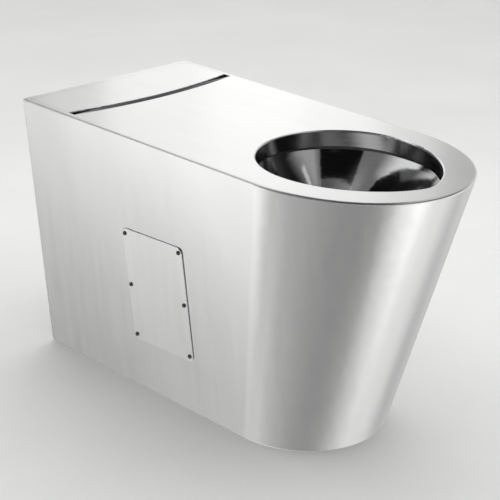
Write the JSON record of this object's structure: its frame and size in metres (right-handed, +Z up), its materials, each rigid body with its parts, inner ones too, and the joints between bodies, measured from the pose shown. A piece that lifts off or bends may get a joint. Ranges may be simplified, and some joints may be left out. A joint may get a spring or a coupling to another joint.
{
  "type": "stainless steel toilet",
  "caption": "Wall-faced floor-standing stainless steel toilet pan without a seat: tapered shroud, egg-shaped bowl opening, rear service cover and screwed side access panels.",
  "frame": {"origin": "centre of the bounding box in plan, on the floor", "axes": "+Z up, +Y towards the wall, the bowl's nose at -Y, +X to the left of a person sitting down"},
  "size_m": [0.36, 0.76, 0.45],
  "materials": {
    "satin_steel": "satin, fine vertical grain",
    "polished_steel": "mirror polished",
    "mill_steel": "dull mill finish",
    "fastener_steel": "dark plain steel",
    "black_rubber": "matt",
    "grey_rubber": "matt sealing strip",
    "damping_sheet": "matt, embossed"
  },
  "bodies": {
    "pan": {"shroud": "satin_steel", "deck_plate": "satin_steel", "gutter_floor": "satin_steel", "gutter_front": "satin_steel", "gutter_rear": "satin_steel", "rim_collar": "polished_steel", "rim_channel": "polished_steel", "bowl": "polished_steel", "bowl_sump": "polished_steel", "rim_spray_ring": "mill_steel", "trap_down_bend": "mill_steel", "trap_up_bend": "mill_steel", "trap_outlet_bend": "mill_steel", "outlet_pipe": "mill_steel", "outlet_spigot": "mill_steel", "flush_pipe_rim": "mill_steel", "flush_pipe_drop": "mill_steel", "flush_pipe_rear": "mill_steel", "flush_inlet_socket": "mill_steel", "base_flange": "mill_steel", "floor_rail_front": "mill_steel", "floor_rail_rear": "mill_steel", "wall_flange_left": "mill_steel", "wall_flange_right": "mill_steel", "rear_top_rail": "mill_steel", "deck_brace_front": "mill_steel", "deck_brace_rear": "mill_steel", "trap_saddle": "mill_steel", "flush_pipe_hanger": "mill_steel", "cover_ledge": "mill_steel", "left_weld_nuts": "mill_steel", "right_weld_nuts": "mill_steel", "earth_stud": "fastener_steel", "earth_nut": "fastener_steel", "flush_inlet_seal": "black_rubber", "damping_pad_left": "damping_sheet", "damping_pad_right": "damping_sheet"},
    "left_panel": {"left_access_panel": "satin_steel", "left_panel_gasket": "grey_rubber", "left_panel_screws": "fastener_steel"},
    "right_panel": {"right_access_panel": "satin_steel", "right_panel_gasket": "grey_rubber", "right_panel_screws": "fastener_steel"},
    "cover": {"rear_cover": "satin_steel", "cover_clips": "mill_steel"}
  },
  "joints": [
    {"name": "left_panel_slide", "type": "slide", "parent": "pan", "child": "left_panel", "axis": [-0.9946, 0, -0.1035], "range_m": [0, 0.15]},
    {"name": "right_panel_slide", "type": "slide", "parent": "pan", "child": "right_panel", "axis": [0.9946, 0, -0.1035], "range_m": [0, 0.15]},
    {"name": "cover_lift", "type": "slide", "parent": "pan", "child": "cover", "axis": [0, 0, 1], "range_m": [0, 0.15]}
  ]
}
